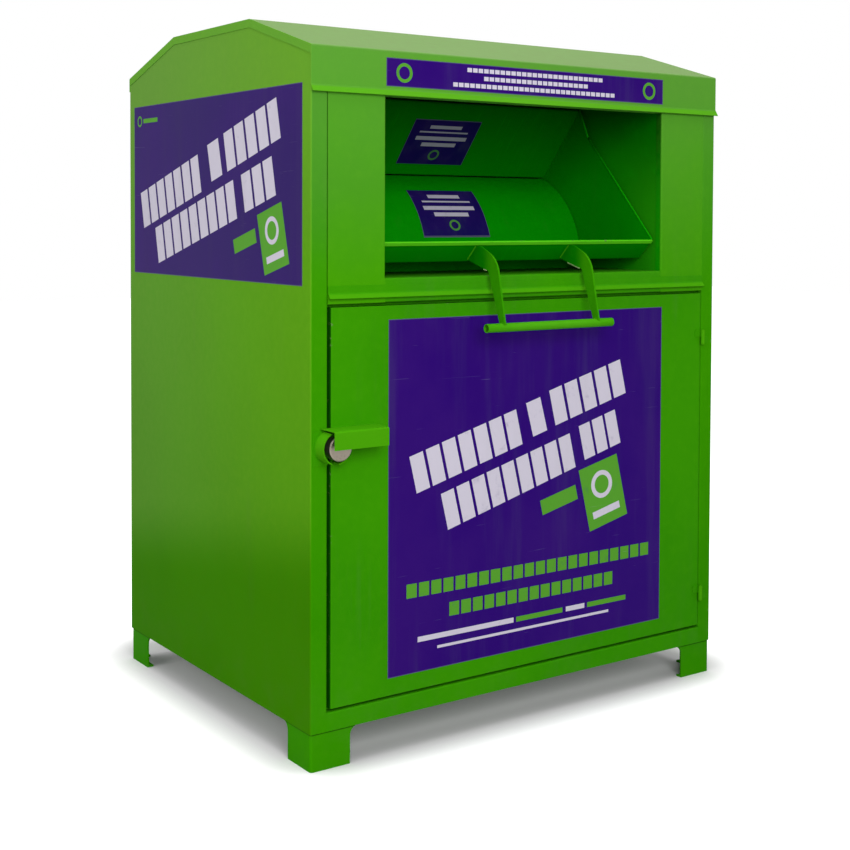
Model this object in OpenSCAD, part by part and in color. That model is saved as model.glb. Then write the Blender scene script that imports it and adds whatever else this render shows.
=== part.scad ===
// Clothing donation bin: a folded sheet-steel cabinet on four short legs, with a rotary
// bag chute behind the opening and a full-width lower door closed by a shrouded puck lock.
// Millimetres, +Z up. X runs along the front, Y runs from the front to the back.
// The origin is on the ground, at the centre of the four anchor holes.

/* [Cabinet] */
// Width over the side panels
body_w = 1524; // [1270:1:1829]
// Depth from the front face to the back face
body_d = 1200; // [1000:1:1440]
// Height of the walls at the eaves
eave_z = 1956; // [1700:1:2350]
// Rise from the eaves to the flat top of the roof
roof_rise = 104; // [80:1:130]
// Depth covered by each sloping end of the roof
roof_run = 347; // [280:1:420]
// Thickness of all the folded sheet
sheet = 2; // [1.6:0.1:3.6]
// Radius on the outside of a fold
fold_r = 5; // [4:0.5:8]
// Drop of the roof's side flanges over the walls
roof_flange = 22; // [16:1:30]
// Drop of the roof's back flange
roof_back_flange = 42; // [30:1:60]
// Width of the corner posts folded from the side panels
post_w = 52; // [44:1:64]
// Depth of the door jambs folded behind the posts
jamb_d = 44; // [38:1:60]
// Height of the rail under the door
rail_h = 51; // [40:1:62]

/* [Legs] */
// Height of the cabinet's underside above the ground
leg_h = 104; // [80:1:130]
// Width of the side and front faces of a leg
leg_w = 125; // [104:1:150]
// Width of the back face of a rear leg
leg_back_w = 56; // [48:1:68]
// Thickness of the leg plate
leg_t = 5; // [4:0.5:8]
// Radius of the web where a leg meets the cabinet
leg_web_r = 26; // [15:1:32]
// Width of the flanges at the foot of a leg
foot_w = 16; // [12:1:22]
// Thickness of the foot flanges
foot_t = 6; // [5:0.5:8]
// Radius of the anchor holes
anchor_r = 5.5; // [4.5:0.5:7]
// Distance of the anchor holes from the inside of the leg plates
anchor_in = 13; // [12:1:16]

/* [Front] */
// Height of the fascia above the chute opening
fascia_h = 123; // [105:1:150]
// How far the drip folds stand out
drip_out = 12; // [8:1:16]
// Height of the drip fold under the fascia
drip_h = 19; // [14:1:24]
// Height of the drip strip over the door
door_drip_h = 15; // [12:1:20]
// Half the width of the chute opening
opening_half = 525; // [437:1:560]
// Height of the chute opening
opening_h = 502; // [470:1:560]
// Height of the face between the door opening and the chute opening
sill_h = 67; // [55:1:80]
// Depth of the return folds at the sides of the opening
cheek_return = 25; // [18:1:28]
// Leg length of the header angle behind the fascia
header_leg = 40; // [30:1:50]

/* [Chute] */
// Depth of the chute pivot behind the front face
pivot_d = 680; // [640:1:720]
// Height of the chute pivot above the sill
pivot_up = 7; // [0:1:20]
// Radius of the pivot pins
pin_r = 12.7; // [10:0.1:15]
// Running clearance of the pivot pins in their bushes
pin_gap = 0.06; // [0.02:0.01:0.1]
// Outer radius of the convex chute panel
drum_r = 316; // [290:1:379]
// Angle where the convex panel ends, measured up from the back
drum_top_a = 110; // [104:1:116]
// Clear space between the tray's side plates and the chute walls
liner_gap = 13; // [10:1:18]
// Depth of the tray's lip behind the front face
lip_d = 29; // [24:1:40]
// Height of the tray's lip above the sill
lip_up = 99; // [90:1:115]
// Depth of the fold at the foot of the tray's front wall
toe_d = 89; // [80:1:110]
// Height of the tray floor above the sill
toe_up = 39; // [32:1:50]
// Running gap between the tray and the convex panel
drum_gap = 5; // [3:0.5:8]
// Half the width of the chute labels
label_half = 131; // [100:1:160]

/* [Handle] */
// Outer radius of the handle tube
tube_r = 12.7; // [10:0.1:16]
// Wall of the handle tube
tube_t = 2.5; // [2:0.1:3.5]
// Half the length of the handle tube
tube_half = 238; // [210:1:300]
// Distance of the handle tube in front of the front face
tube_out = 84; // [70:1:100]
// Drop of the handle tube below the sill
tube_down = 146; // [120:1:165]
// Distance of each handle arm from the middle
arm_x = 178; // [140:1:200]
// Thickness of the handle arms
arm_t = 6; // [4:0.5:8]
// Outer radius of the bend in the handle arms
arm_bend_out = 80; // [76:1:84]
// Inner radius of the bend in the handle arms
arm_bend_in = 16; // [12:1:18]
// Width of the handle arms at the tube
arm_w = 24; // [18:1:26]

/* [Door] */
// Depth of the door's edge folds
door_t = 28; // [22:1:32]
// Gap at the lock side of the door
latch_gap = 10; // [8:1:13]
// Gap at the hinge side of the door
hinge_gap = 2; // [1.5:0.5:3]
// Gap above and below the door
door_gap_z = 9; // [7:1:12]
// Radius of the hinge barrels
barrel_r = 7; // [6:0.5:9]
// Length of each half of a hinge barrel
barrel_l = 22; // [18:1:30]
// Radius of the hinge pins
hinge_pin_r = 4; // [3:0.1:5]
// Running clearance of the hinge pins
hinge_pin_gap = 0.05; // [0.02:0.01:0.1]
// Distance of the lower hinge's middle above the door's foot
hinge_low = 107; // [80:1:180]
// Distance of the upper hinge's middle below the door's top
hinge_high = 142; // [100:1:220]
// Width of the flat stops behind the door
stop_w = 30; // [24:1:36]

/* [Lock] */
// Radius of the puck lock
puck_r = 35; // [31:0.5:36.5]
// Thickness of the puck lock
puck_t = 32; // [30:0.5:33]
// Height of the lock above the door's lower edge
lock_up = 717; // [600:1:800]
// Radius of the lock's shackle pin
shackle_r = 4.75; // [4:0.05:5.5]
// Length of the lock hood
hood_w = 172; // [140:1:180]
// How far the hood stands out from the door
hood_out = 75; // [72:1:85]
// Height of the hood's front plate
hood_h = 50; // [44:1:56]
// Inner radius of the ring guard around the lock
guard_r = 43; // [40:0.5:46]
// How far the ring guard stands out
guard_out = 47; // [38:1:50]

/* [Hidden] */

$fn = 64;

// Fits and trims
skin_t = 0.3;            // vinyl decals
seat_gap = 0.3;          // left where a soft or curved piece is seated
arc_steps = 4;           // straight steps in each rounded fold
cut = 1;                 // overshoot of the cutting shapes

// Cabinet faces and levels
half_w = body_w / 2;
half_d = body_d / 2;
in_w = half_w - sheet;
in_d = half_d - sheet;
post_x = half_w - post_w;
fascia_z = eave_z - fascia_h;
sill_z = fascia_z - opening_h;
door_head_z = sill_z - sill_h;
door_foot_z = leg_h + rail_h;
foot_chamfer = 4;        // clears the fold of the leg
foot_gusset = 20;        // corner of the foot that holds the anchor hole

// Chute walls and cross rail, depths counted from the front face
pivot_z = sill_z + pivot_up;
pivot = [pivot_d, pivot_z];
liner_in = opening_half + sheet;
liner_front = fold_r + 1;
liner_back = pivot_d + 220;
liner_top_d = pivot_d + 20;
liner_top_z = eave_z - 16;
liner_shoulder_z = pivot_z + 262;
rail_box = 50;
rail_wall = 3;
rail_d = pivot_d - 40;
rail_top = pivot_z - 58;
rail_flange = 40;        // fold of the chute walls along the cross rail
bolt_r = 5;
bolt_hole_r = 5.5;
bolt_head_r = 8.5;
bolt_head_h = 6;
bolt_l = 22;
bolt_x = liner_in + 24;
bolt_ds = [rail_d + 14, rail_d + 36];

// Convex panel
drum_end_gap = 4;        // between the convex panel and the tray's side plates
drum_low_a = 190;
plate_out = liner_in - liner_gap;
plate_in = plate_out - sheet;
drum_half = plate_in - drum_end_gap;
shelf_d = pivot_d - drum_r - seat_gap;
bumper_r = 15;
bumper_at = [opening_half - 85, pivot_d - drum_r - 64];  // from the middle, and depth

// Tray, as depth and height
lip = [lip_d, sill_z + lip_up];
toe = [toe_d, sill_z + toe_up];
tray_r = drum_r + drum_gap;
heel = [pivot_d - sqrt(pow(tray_r, 2) - pow(toe_up - pivot_up, 2)), toe.y];
back_foot = pivot + tray_r * dir(drum_top_a);
plate_bend = [338, sill_z + 438];
plate_top = [381, sill_z + 531];
plate_back = [25, 0];    // how far the side plates run behind the tray's back
hem = [22, 4];           // fold along the top of the tray's back
hub_r = 40;
bush_r = 18;
bush_fit = 0.08;
bush_flange_r = 26;
lift_a = 60;             // full lift of the tray
stop_a = atan2(back_foot.y - pivot.y, back_foot.x + plate_back.x - pivot.x) - lift_a;
stop_r = 220;
stop_size = [40, 20];
wall_dir = unit(toe - lip);
lip_size = [12, 5];

// Handle
tube_c = [-tube_out, sill_z - tube_down];
arm_shoulder = [17, sill_z + 83];
bend_out_c = [14, sill_z - 7];
bend_out_a = [118, 167];
bend_in_c = [-5, sill_z + 1];
bend_in_a = [161, 90];
arm_foot_up = 8;         // the arm's end above the tube's middle
arm_slack = 0.1;

// Door and hinges
door_l = latch_gap - post_x;
door_r = post_x - hinge_gap;
door_lo = door_foot_z + door_gap_z;
door_hi = door_head_z - door_gap_z;
door_h = door_hi - door_lo;
stop_d = door_t + seat_gap;
hinge_x = door_r + hinge_gap / 2;
hinge_out = barrel_r + 1.5;
hinge_zs = [door_lo + hinge_low, door_hi - hinge_high];
leaf_w = 27;
leaf_t = 3;
pin_head = [6, 3];       // radius and height
rib_size = [22, 60];     // depth and height of the door's stiffeners
rib_zs = [for (f = [0.12, 0.44, 0.76]) door_lo + f * door_h];

// Lock
lock_z = door_lo + lock_up;
gap_x = latch_gap / 2 - post_x;
puck_x = gap_x + 7;
puck_back = 20;          // clear depth behind the puck
puck_edge = 3;
tab_t = 3;
tab_half = 15;
tab_frame_x = -post_x - 3.5;
tab_hole_r = 5.5;
slot_l = tab_frame_x - 1;
slot_r = door_l + tab_t + 1.5;
slot_deep = 23.5;
tab_out = puck_back + slot_deep - seat_gap;
shackle_out = 31;
shackle_gap = 0.08;
shackle_l = 30;
shackle_rest = slot_r - 0.5;
catch_deep = 5.5;        // blind hole that takes the shackle's nose
plug_r = 6.5;
plug_gap = 0.08;
plug_x = puck_x + 18;
plug_out = 40;
plug_top = lock_z - 11;
plug_foot = lock_z - 29;
keyway = [2, 7, 8];
hood_z = lock_z + 50;
hood_x = -post_x - 22;
hood_lift = 1;           // the hood's free end stays this far off the post
hasp_w = 30;
backplate_w = 46;
backplate_z = [lock_z - 50, lock_z + 44];
ring_t = 3;
ring_frame_a = [115, 245];
ring_door_a = [280, 345];
ring_door_out = 40;

// Inner stiffeners
rib = 30;
side_rib_z = (leg_h + rail_top) / 2;
back_rib_x = (in_w + liner_in) / 2;
back_rib = [60, 25];

// Decals
side_decal_d = [46, body_d - 35];
side_decal_z = [sill_z - 19, fascia_z + 27];
door_decal_x = [door_l + 186, door_r - 177];
door_decal_z = [door_lo + 48, door_hi - 39];
fascia_decal_z = [fascia_z + 26, fascia_z + 105];
label_r = drum_r + seat_gap;
drum_label_a = [128.6, 162.1];
tray_label_at = [0.15, 0.77];   // shares of the tray's back, from its foot

// ---------- outlines and placing ----------

function unit(v) = v / norm(v);
function left_of(v) = [-v.y, v.x];
function dir(a) = [cos(a), sin(a)];
function front(p) = [p.x - half_d, p.y];
function arc(c, r, a0, a1, n = 12) = [for (i = [0 : n]) c + r * dir(a0 + (a1 - a0) * i / n)];

// Point i of the path p, pushed to the left by t
function mitre(p, i, t) =
    let(n = len(p),
        a = i > 0 ? unit(p[i] - p[i - 1]) : unit(p[1] - p[0]),
        b = i < n - 1 ? unit(p[i + 1] - p[i]) : a)
    p[i] + t * (left_of(a) + left_of(b)) / (1 + a * b);

// Path p along one face of a sheet that lies to its left, with the folds rounded
function rounded(p, r = fold_r, t = sheet) = [
    p[0],
    for (i = [1 : 1 : len(p) - 2])
        let(a = unit(p[i] - p[i - 1]),
            b = unit(p[i + 1] - p[i]),
            side = sign(a.x * b.y - a.y * b.x),
            turn = acos(a * b),
            fold = side > 0 ? r : r - t,
            c = p[i] - a * fold * tan(turn / 2) + side * fold * left_of(a),
            a0 = atan2(-side * left_of(a).y, -side * left_of(a).x))
        each arc(c, fold, a0, a0 + side * turn, arc_steps),
    p[len(p) - 1]
];

// Outline of a folded sheet
function folded(path, r = fold_r, t = sheet) =
    let(p = rounded(path, r, t))
    concat(p, [for (i = [len(p) - 1 : -1 : 0]) mitre(p, i, t)]);

// Outline in Y and Z, drawn out along X
module along_x(x0, x1) {
    translate([x0, 0, 0]) rotate([90, 0, 90]) linear_extrude(x1 - x0) children();
}

// Outline in X and Z, drawn out along Y
module along_y(y0, y1) {
    translate([0, y1, 0]) rotate([90, 0, 0]) linear_extrude(y1 - y0) children();
}

// Outline in X and Y, drawn out along Z
module along_z(z0, z1) {
    translate([0, 0, z0]) linear_extrude(z1 - z0) children();
}

// Outline centred on the chute pivot, drawn out along X
module at_pivot(x0, x1) {
    translate([0, pivot_d - half_d, pivot_z]) along_x(x0, x1) children();
}

// Band of a cylinder around the chute pivot
module pivot_band(half, r0, r1, a0, a1) {
    translate([-half, pivot_d - half_d, pivot_z]) rotate([90, 0, 90]) rotate([0, 0, a0])
        rotate_extrude(angle = a1 - a0, $fn = 180) translate([r0, 0]) square([r1 - r0, 2 * half]);
}

// Box between two corners
module block(a, b) {
    translate(a) cube(b - a);
}

module both_sides() {
    children();
    mirror([1, 0, 0]) children();
}

module lime() {
    color([0.30, 0.66, 0.09]) children();
}

module shade_green() {
    color([0.20, 0.50, 0.07]) children();
}

module purple() {
    color([0.22, 0.06, 0.45]) children();
}

module steel() {
    color([0.72, 0.72, 0.74]) children();
}

module rubber() {
    color([0.12, 0.12, 0.12]) children();
}

// ---------- cabinet ----------

module wall_outline() {
    polygon(rounded([
        [-half_d, leg_h], [-half_d, eave_z], [roof_run - half_d, eave_z + roof_rise],
        [half_d - roof_run, eave_z + roof_rise], [half_d, eave_z], [half_d, leg_h]
    ]));
}

// Side wall and corner post in one sheet, with a door jamb from the rail upwards
module side_panel() {
    corner = [[-half_w, half_d], [-half_w, -half_d], [-post_x, -half_d]];
    intersection() {
        union() {
            along_z(leg_h, door_foot_z) polygon(folded(corner));
            along_z(door_foot_z, eave_z + roof_rise)
                polygon(folded(concat(corner, [[-post_x, jamb_d - half_d]])));
        }
        along_x(-half_w - cut, cut - post_x) wall_outline();
    }
}

module side_panel_left() {
    lime() side_panel();
}

module side_panel_right() {
    lime() mirror([1, 0, 0]) side_panel();
}

module back_panel() {
    lime() intersection() {
        block([-in_w, in_d, leg_h], [in_w, half_d, eave_z]);
        along_x(-in_w, in_w) wall_outline();
    }
}

module floor_panel() {
    lime() difference() {
        block([-in_w, sheet - half_d, leg_h], [in_w, in_d, leg_h + sheet]);
        both_sides()
            block([-in_w - cut, -half_d, leg_h - cut],
                  [-post_x, fold_r + 1 - half_d, leg_h + sheet + cut]);
    }
}

// Roof and fascia in one sheet, with a flange over each side wall
module roof_cap() {
    over = half_w + sheet;
    lime() {
        along_x(-over, over)
            polygon(folded([
                [-half_d - drip_out, fascia_z], [-half_d, fascia_z + drip_h],
                [-half_d, eave_z], [roof_run - half_d, eave_z + roof_rise],
                [half_d - roof_run, eave_z + roof_rise], [half_d, eave_z],
                [half_d, eave_z - roof_back_flange]
            ]));
        both_sides() along_x(half_w, over) roof_side_band();
    }
}

module roof_side_band() {
    difference() {
        wall_outline();
        translate([0, -roof_flange]) wall_outline();
        translate([-half_d - cut, 0]) square([body_d + 2 * cut, eave_z - roof_flange]);
    }
}

// Face beside the opening, with a return fold from the sill upwards
module front_cheek() {
    face = [[-post_x, -half_d], [-opening_half, -half_d]];
    along_z(door_head_z, sill_z) polygon(folded(face));
    along_z(sill_z, eave_z - fold_r)
        polygon(folded(concat(face, [[-opening_half, cheek_return - half_d]])));
}

module front_cheek_left() {
    lime() front_cheek();
}

module front_cheek_right() {
    lime() mirror([1, 0, 0]) front_cheek();
}

// Face under the opening, with the shelf that runs back to the convex panel
module sill_panel() {
    lime() {
        along_x(-opening_half, opening_half)
            polygon(folded([
                front([shelf_d, sill_z]), front([0, sill_z]), front([0, door_head_z]),
                front([stop_d + sheet + fold_r, door_head_z])
            ]));
        both_sides()
            block([opening_half, cheek_return - half_d, sill_z - sheet],
                  [liner_in, shelf_d - half_d, sill_z]);
    }
}

module header_angle() {
    lime() along_x(-opening_half, opening_half)
        polygon(folded([
            front([0, fascia_z + header_leg]), front([0, fascia_z]),
            front([header_leg, fascia_z])
        ]));
}

module door_drip_strip() {
    lime() along_x(-post_x, post_x)
        polygon(folded([
            [-half_d - drip_out, door_head_z + drip_h - 5],
            [-half_d, door_head_z + drip_h - 5 + door_drip_h],
            [-half_d, door_head_z + drip_h + 2 * door_drip_h]
        ]));
}

module bottom_rail() {
    lime() along_x(-post_x, post_x)
        polygon(folded([
            front([jamb_d - fold_r, door_foot_z]), front([0, door_foot_z]), front([0, leg_h])
        ]));
}

// Flat stops that the door closes against
module door_stops() {
    lime() {
        both_sides()
            block([-post_x, stop_d - half_d, door_foot_z],
                  [stop_w - post_x, stop_d + sheet - half_d, door_head_z]);
        for (z = [door_foot_z, door_head_z - stop_w])
            block([stop_w - post_x, stop_d - half_d, z],
                  [post_x - stop_w, stop_d + sheet - half_d, z + stop_w]);
    }
}

module side_stiffeners() {
    lime() both_sides() {
        block([-in_w, jamb_d - half_d, side_rib_z], [sheet - in_w, in_d, side_rib_z + rib]);
        block([-in_w, jamb_d - half_d, side_rib_z], [rib - in_w, in_d, side_rib_z + sheet]);
    }
}

module back_stiffeners() {
    lime() both_sides()
        along_z(leg_h + sheet, eave_z - roof_flange)
            translate([back_rib_x - back_rib.x / 2, in_d - back_rib.y]) difference() {
                square(back_rib);
                translate([sheet, sheet]) square([back_rib.x - 2 * sheet, back_rib.y]);
            }
}

// ---------- legs ----------

// What is cut away beside a leg's face of width w, from its corner
module leg_cutaway(w) {
    translate([w, -cut]) square([leg_web_r + cut, leg_h - leg_web_r + cut]);
    translate([w + leg_web_r, leg_h - leg_web_r]) circle(leg_web_r);
}

// Leg at the front left corner, with a face of width w along X
module leg(w) {
    translate([-in_w, -in_d, 0]) {
        difference() {
            along_z(0, leg_h)
                polygon(folded([[0, leg_w + leg_web_r], [0, 0], [w + leg_web_r, 0]],
                               leg_t + 3, leg_t));
            along_y(-cut, leg_t + cut) leg_cutaway(w);
            along_x(-cut, leg_t + cut) leg_cutaway(leg_w);
        }
        block([leg_t, leg_t, leg_h - leg_t], [w, leg_w, leg_h]);
    }
}

module leg_front_left() {
    lime() leg(leg_w);
}

module leg_front_right() {
    lime() mirror([1, 0, 0]) leg(leg_w);
}

module leg_rear_left() {
    lime() mirror([0, 1, 0]) leg(leg_back_w);
}

module leg_rear_right() {
    lime() rotate([0, 0, 180]) leg(leg_back_w);
}

// Flange inside the foot of a leg, with its anchor hole in the corner
module foot(w) {
    along = w - leg_t;
    back = leg_w - leg_t;
    translate([leg_t - in_w, leg_t - in_d, 0]) difference() {
        along_z(0, foot_t)
            polygon([
                [foot_chamfer, 0], [along, 0], [along, foot_w],
                [foot_w + foot_gusset, foot_w], [foot_w, foot_w + foot_gusset],
                [foot_w, back], [0, back], [0, foot_chamfer]
            ]);
        translate([anchor_in, anchor_in, -cut]) cylinder(r = anchor_r, h = foot_t + 2 * cut);
    }
}

module foot_plates() {
    shade_green() both_sides() {
        foot(leg_w);
        mirror([0, 1, 0]) foot(leg_back_w);
    }
}

// ---------- chute, fixed ----------

module chute_liner() {
    difference() {
        union() {
            along_x(liner_in, liner_in + sheet)
                polygon([
                    front([liner_front, rail_top]), front([liner_front, liner_top_z]),
                    front([liner_top_d, liner_top_z]), front([liner_back, liner_shoulder_z]),
                    front([liner_back, rail_top])
                ]);
            block([liner_in + sheet, rail_d - half_d, rail_top],
                  [liner_in + rail_flange, rail_d + rail_box - half_d, rail_top + sheet]);
        }
        at_pivot(liner_in - cut, liner_in + sheet + cut) circle(pin_r + bush_fit);
        for (d = bolt_ds)
            translate([bolt_x, d - half_d, rail_top - cut])
                cylinder(r = bolt_hole_r, h = sheet + 2 * cut);
    }
}

module chute_liner_left() {
    shade_green() mirror([1, 0, 0]) chute_liner();
}

module chute_liner_right() {
    shade_green() chute_liner();
}

module drum_panel() {
    lime() pivot_band(drum_half, drum_r - sheet, drum_r, drum_top_a, drum_low_a);
}

module drum_gussets() {
    shade_green()
        for (x = [-drum_half, -sheet / 2, drum_half - sheet])
            at_pivot(x, x + sheet) intersection() {
                circle(drum_r - sheet - seat_gap, $fn = 180);
                polygon([
                    [-drum_r, rail_top - pivot_z], [10, rail_top - pivot_z], [10, 0],
                    drum_r * dir(drum_top_a + 1), drum_r * [-1, 1]
                ]);
            }
}

module cross_rail() {
    shade_green() difference() {
        along_x(-in_w, in_w) translate(front([rail_d, rail_top - rail_box])) difference() {
            square(rail_box);
            translate([rail_wall, rail_wall]) square(rail_box - 2 * rail_wall);
        }
        both_sides()
            for (d = bolt_ds)
                translate([bolt_x, d - half_d, rail_top - rail_wall - cut])
                    cylinder(r = bolt_hole_r, h = rail_wall + 2 * cut);
    }
}

module chute_bolts() {
    steel() both_sides()
        for (d = bolt_ds)
            translate([bolt_x, d - half_d, rail_top + sheet]) {
                cylinder(r = bolt_head_r, h = bolt_head_h, $fn = 6);
                translate([0, 0, -bolt_l]) cylinder(r = bolt_r, h = bolt_l);
            }
}

module pivot_pins() {
    steel() both_sides() at_pivot(plate_in - 2, liner_in + sheet + 14) circle(pin_r);
}

module pivot_nuts() {
    steel() both_sides()
        at_pivot(liner_in + sheet, liner_in + sheet + 11) difference() {
            circle(22, $fn = 6);
            circle(pin_r + pin_gap);
        }
}

// Rubber feet that the tray rests on
module rest_bumpers() {
    rubber() both_sides()
        translate([bumper_at.x, bumper_at.y - half_d, sill_z])
            cylinder(r = bumper_r, h = toe_up - seat_gap);
}

// Rubber blocks that end the tray's lift
module open_stops() {
    rubber() both_sides()
        at_pivot(plate_in - sheet, liner_in)
            rotate(stop_a) translate([stop_r, -stop_size.y - seat_gap]) square(stop_size);
}

// ---------- tray ----------

module tray_plate() {
    difference() {
        union() {
            along_x(plate_in, plate_out)
                polygon([
                    for (p = [
                        lip, plate_bend, plate_top, plate_top + plate_back,
                        back_foot + plate_back, pivot, heel, toe
                    ]) front(p)
                ]);
            at_pivot(plate_in, plate_out) circle(hub_r);
        }
        at_pivot(plate_in - cut, plate_out + cut) circle(bush_r + bush_fit);
    }
}

module tray_plate_left() {
    lime() mirror([1, 0, 0]) tray_plate();
}

module tray_plate_right() {
    lime() tray_plate();
}

module tray_pan() {
    lime() along_x(-plate_in, plate_in) polygon(folded([front(lip), front(toe), front(heel)]));
}

// Strip along the top of the tray's front wall
module tray_lip() {
    outward = -left_of(wall_dir);
    lime() along_x(-plate_out, plate_out)
        polygon([
            for (k = [[0, 0], [1, 0], [1, 1], [0, 1]])
                front(lip + k.x * lip_size.x * wall_dir + k.y * lip_size.y * outward)
        ]);
}

module tray_back() {
    lime() along_x(-plate_in, plate_in)
        polygon(folded([front(plate_top + hem), front(plate_top), front(back_foot)]));
}

module pivot_bushes() {
    color([0.85, 0.83, 0.76]) both_sides() difference() {
        union() {
            at_pivot(plate_in, plate_out) circle(bush_r);
            at_pivot(plate_out, liner_in - seat_gap) circle(bush_flange_r);
        }
        at_pivot(plate_in - cut, liner_in + cut) circle(pin_r + pin_gap);
    }
}

// Flat bar that leaves the tray's front wall and bends down to the tube
module handle_arm(side) {
    centre = side * arm_x;
    end = tube_c + [0, arm_foot_up];
    along_x(centre - arm_t / 2, centre + arm_t / 2) difference() {
        polygon([
            for (p = concat(
                [lip + (lip_size.x + 6) * wall_dir, arm_shoulder],
                arc(bend_out_c, arm_bend_out, bend_out_a[0], bend_out_a[1]),
                [end - [arm_w / 2, 0], end + [arm_w / 2, 0]],
                arc(bend_in_c, arm_bend_in, bend_in_a[0], bend_in_a[1]),
                [toe - 6 * wall_dir]
            )) front(p)
        ]);
        translate(front(tube_c)) circle(tube_r + arm_slack);
    }
}

module handle_arm_left() {
    lime() handle_arm(-1);
}

module handle_arm_right() {
    lime() handle_arm(1);
}

module handle_tube() {
    lime() along_x(-tube_half, tube_half) translate(front(tube_c)) difference() {
        circle(tube_r);
        circle(tube_r - tube_t);
    }
}

// ---------- door ----------

module door_pan() {
    lime() {
        along_z(door_lo, door_hi)
            polygon(folded([
                [door_l, door_t - half_d], [door_l, -half_d],
                [door_r, -half_d], [door_r, door_t - half_d]
            ]));
        for (z = [door_lo, door_hi - sheet])
            block([door_l + sheet, sheet - half_d, z], [door_r - sheet, door_t - half_d, z + sheet]);
    }
}

module door_stiffeners() {
    lime()
        for (z = rib_zs)
            along_x(door_l + fold_r + 1, door_r - fold_r - 1)
                translate(front([sheet, z])) difference() {
                    square(rib_size);
                    translate([-cut, sheet])
                        square([rib_size.x - sheet + cut, rib_size.y - 2 * sheet]);
                }
}

// One half of a hinge: a barrel and the leaf that is welded to the face beside it
module hinge_half(z, leaf_side) {
    leaf = [hinge_x, hinge_x + leaf_side * leaf_w];
    difference() {
        union() {
            translate([hinge_x, -half_d - hinge_out, z]) cylinder(r = barrel_r, h = barrel_l);
            block([min(leaf), -half_d - leaf_t, z], [max(leaf), -half_d, z + barrel_l]);
        }
        translate([hinge_x, -half_d - hinge_out, z - cut])
            cylinder(r = hinge_pin_r + hinge_pin_gap, h = barrel_l + 2 * cut);
    }
}

module door_hinge_barrels() {
    lime() for (z = hinge_zs) hinge_half(z + seat_gap / 2, -1);
}

module frame_hinge_barrels() {
    lime() for (z = hinge_zs) hinge_half(z - seat_gap / 2 - barrel_l, 1);
}

module hinge_pins() {
    lime()
        for (z = hinge_zs)
            translate([hinge_x, -half_d - hinge_out, z - seat_gap / 2 - barrel_l]) {
                translate([0, 0, -pin_head.y]) cylinder(r = pin_head.x, h = pin_head.y);
                cylinder(r = hinge_pin_r, h = 2 * barrel_l + seat_gap + 1);
            }
}

// ---------- lock ----------

// Part ring that stands out around the lock
module ring_guard(a, base, out) {
    translate([gap_x, -half_d - base, lock_z]) rotate([90, 0, 0]) rotate([0, 0, a[0]])
        rotate_extrude(angle = a[1] - a[0], $fn = 96)
            translate([guard_r, 0]) square([ring_t, out - base]);
}

module lock_ring_frame() {
    lime() ring_guard(ring_frame_a, sheet, guard_out);
}

module lock_ring_door() {
    lime() ring_guard(ring_door_a, 0, ring_door_out);
}

// Tab that the shackle passes through
module lock_tab(x) {
    difference() {
        block([x, -half_d - tab_out, lock_z - tab_half], [x + tab_t, -half_d, lock_z + tab_half]);
        shackle_hole(x - cut, x + tab_t + cut, tab_hole_r);
    }
}

module shackle_hole(x0, x1, r) {
    along_x(x0, x1) translate([-half_d - shackle_out, lock_z]) circle(r);
}

module lock_backplate() {
    lime() {
        block([-post_x - cut - backplate_w, -half_d - sheet, backplate_z[0]],
              [-post_x - cut, -half_d, backplate_z[1]]);
        lock_tab(tab_frame_x);
    }
}

module door_hasp() {
    lime() {
        lock_tab(door_l);
        block([door_l + tab_t, -half_d - sheet, lock_z - tab_half],
              [door_l + hasp_w, -half_d, lock_z + tab_half]);
    }
}

module lock_hood() {
    lime() difference() {
        along_x(hood_x, hood_x + hood_w)
            polygon(folded([
                front([0, hood_z]), front([-hood_out, hood_z]),
                front([-hood_out, hood_z - hood_h])
            ]));
        block([hood_x - cut, -half_d - hood_lift, hood_z - sheet - cut],
              [door_l, cut - half_d, hood_z + cut]);
    }
}

module lock_puck() {
    steel() difference() {
        translate([puck_x, -half_d - puck_back, lock_z]) rotate([90, 0, 0])
            rotate_extrude($fn = 96)
                polygon([
                    [0, 0], [puck_r - 1, 0], [puck_r, 1], [puck_r, puck_t - puck_edge],
                    [puck_r - puck_edge, puck_t], [0, puck_t]
                ]);
        block([slot_l, -half_d - puck_back - slot_deep, lock_z - puck_r - cut],
              [slot_r, cut - half_d - puck_back, lock_z + puck_r + cut]);
        shackle_hole(slot_l - catch_deep, shackle_rest + shackle_l + 1, shackle_r + shackle_gap);
        translate([plug_x, -half_d - plug_out, lock_z - puck_r - cut])
            cylinder(r = plug_r + plug_gap, h = plug_top - lock_z + puck_r + cut);
    }
}

module lock_shackle() {
    steel() shackle_hole(shackle_rest, shackle_rest + shackle_l, shackle_r);
}

module key_plug() {
    color([0.75, 0.62, 0.30]) translate([plug_x, -half_d - plug_out, plug_foot]) difference() {
        cylinder(r = plug_r, h = plug_top - plug_foot - seat_gap);
        translate([-keyway.x / 2, -keyway.y / 2, -cut]) cube(keyway + [0, 0, cut]);
    }
}

// ---------- decals ----------

module side_decal_left() {
    purple()
        block([-half_w - skin_t, side_decal_d[0] - half_d, side_decal_z[0]],
              [-half_w, side_decal_d[1] - half_d, side_decal_z[1]]);
}

module side_decal_right() {
    mirror([1, 0, 0]) side_decal_left();
}

module fascia_decal() {
    purple()
        block([-opening_half, -half_d - sheet - skin_t, fascia_decal_z[0]],
              [opening_half, -half_d - sheet, fascia_decal_z[1]]);
}

module door_decal() {
    purple()
        block([door_decal_x[0], -half_d - skin_t, door_decal_z[0]],
              [door_decal_x[1], -half_d, door_decal_z[1]]);
}

module drum_label() {
    purple()
        pivot_band(label_half, label_r, label_r + skin_t, drum_label_a[0], drum_label_a[1]);
}

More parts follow.
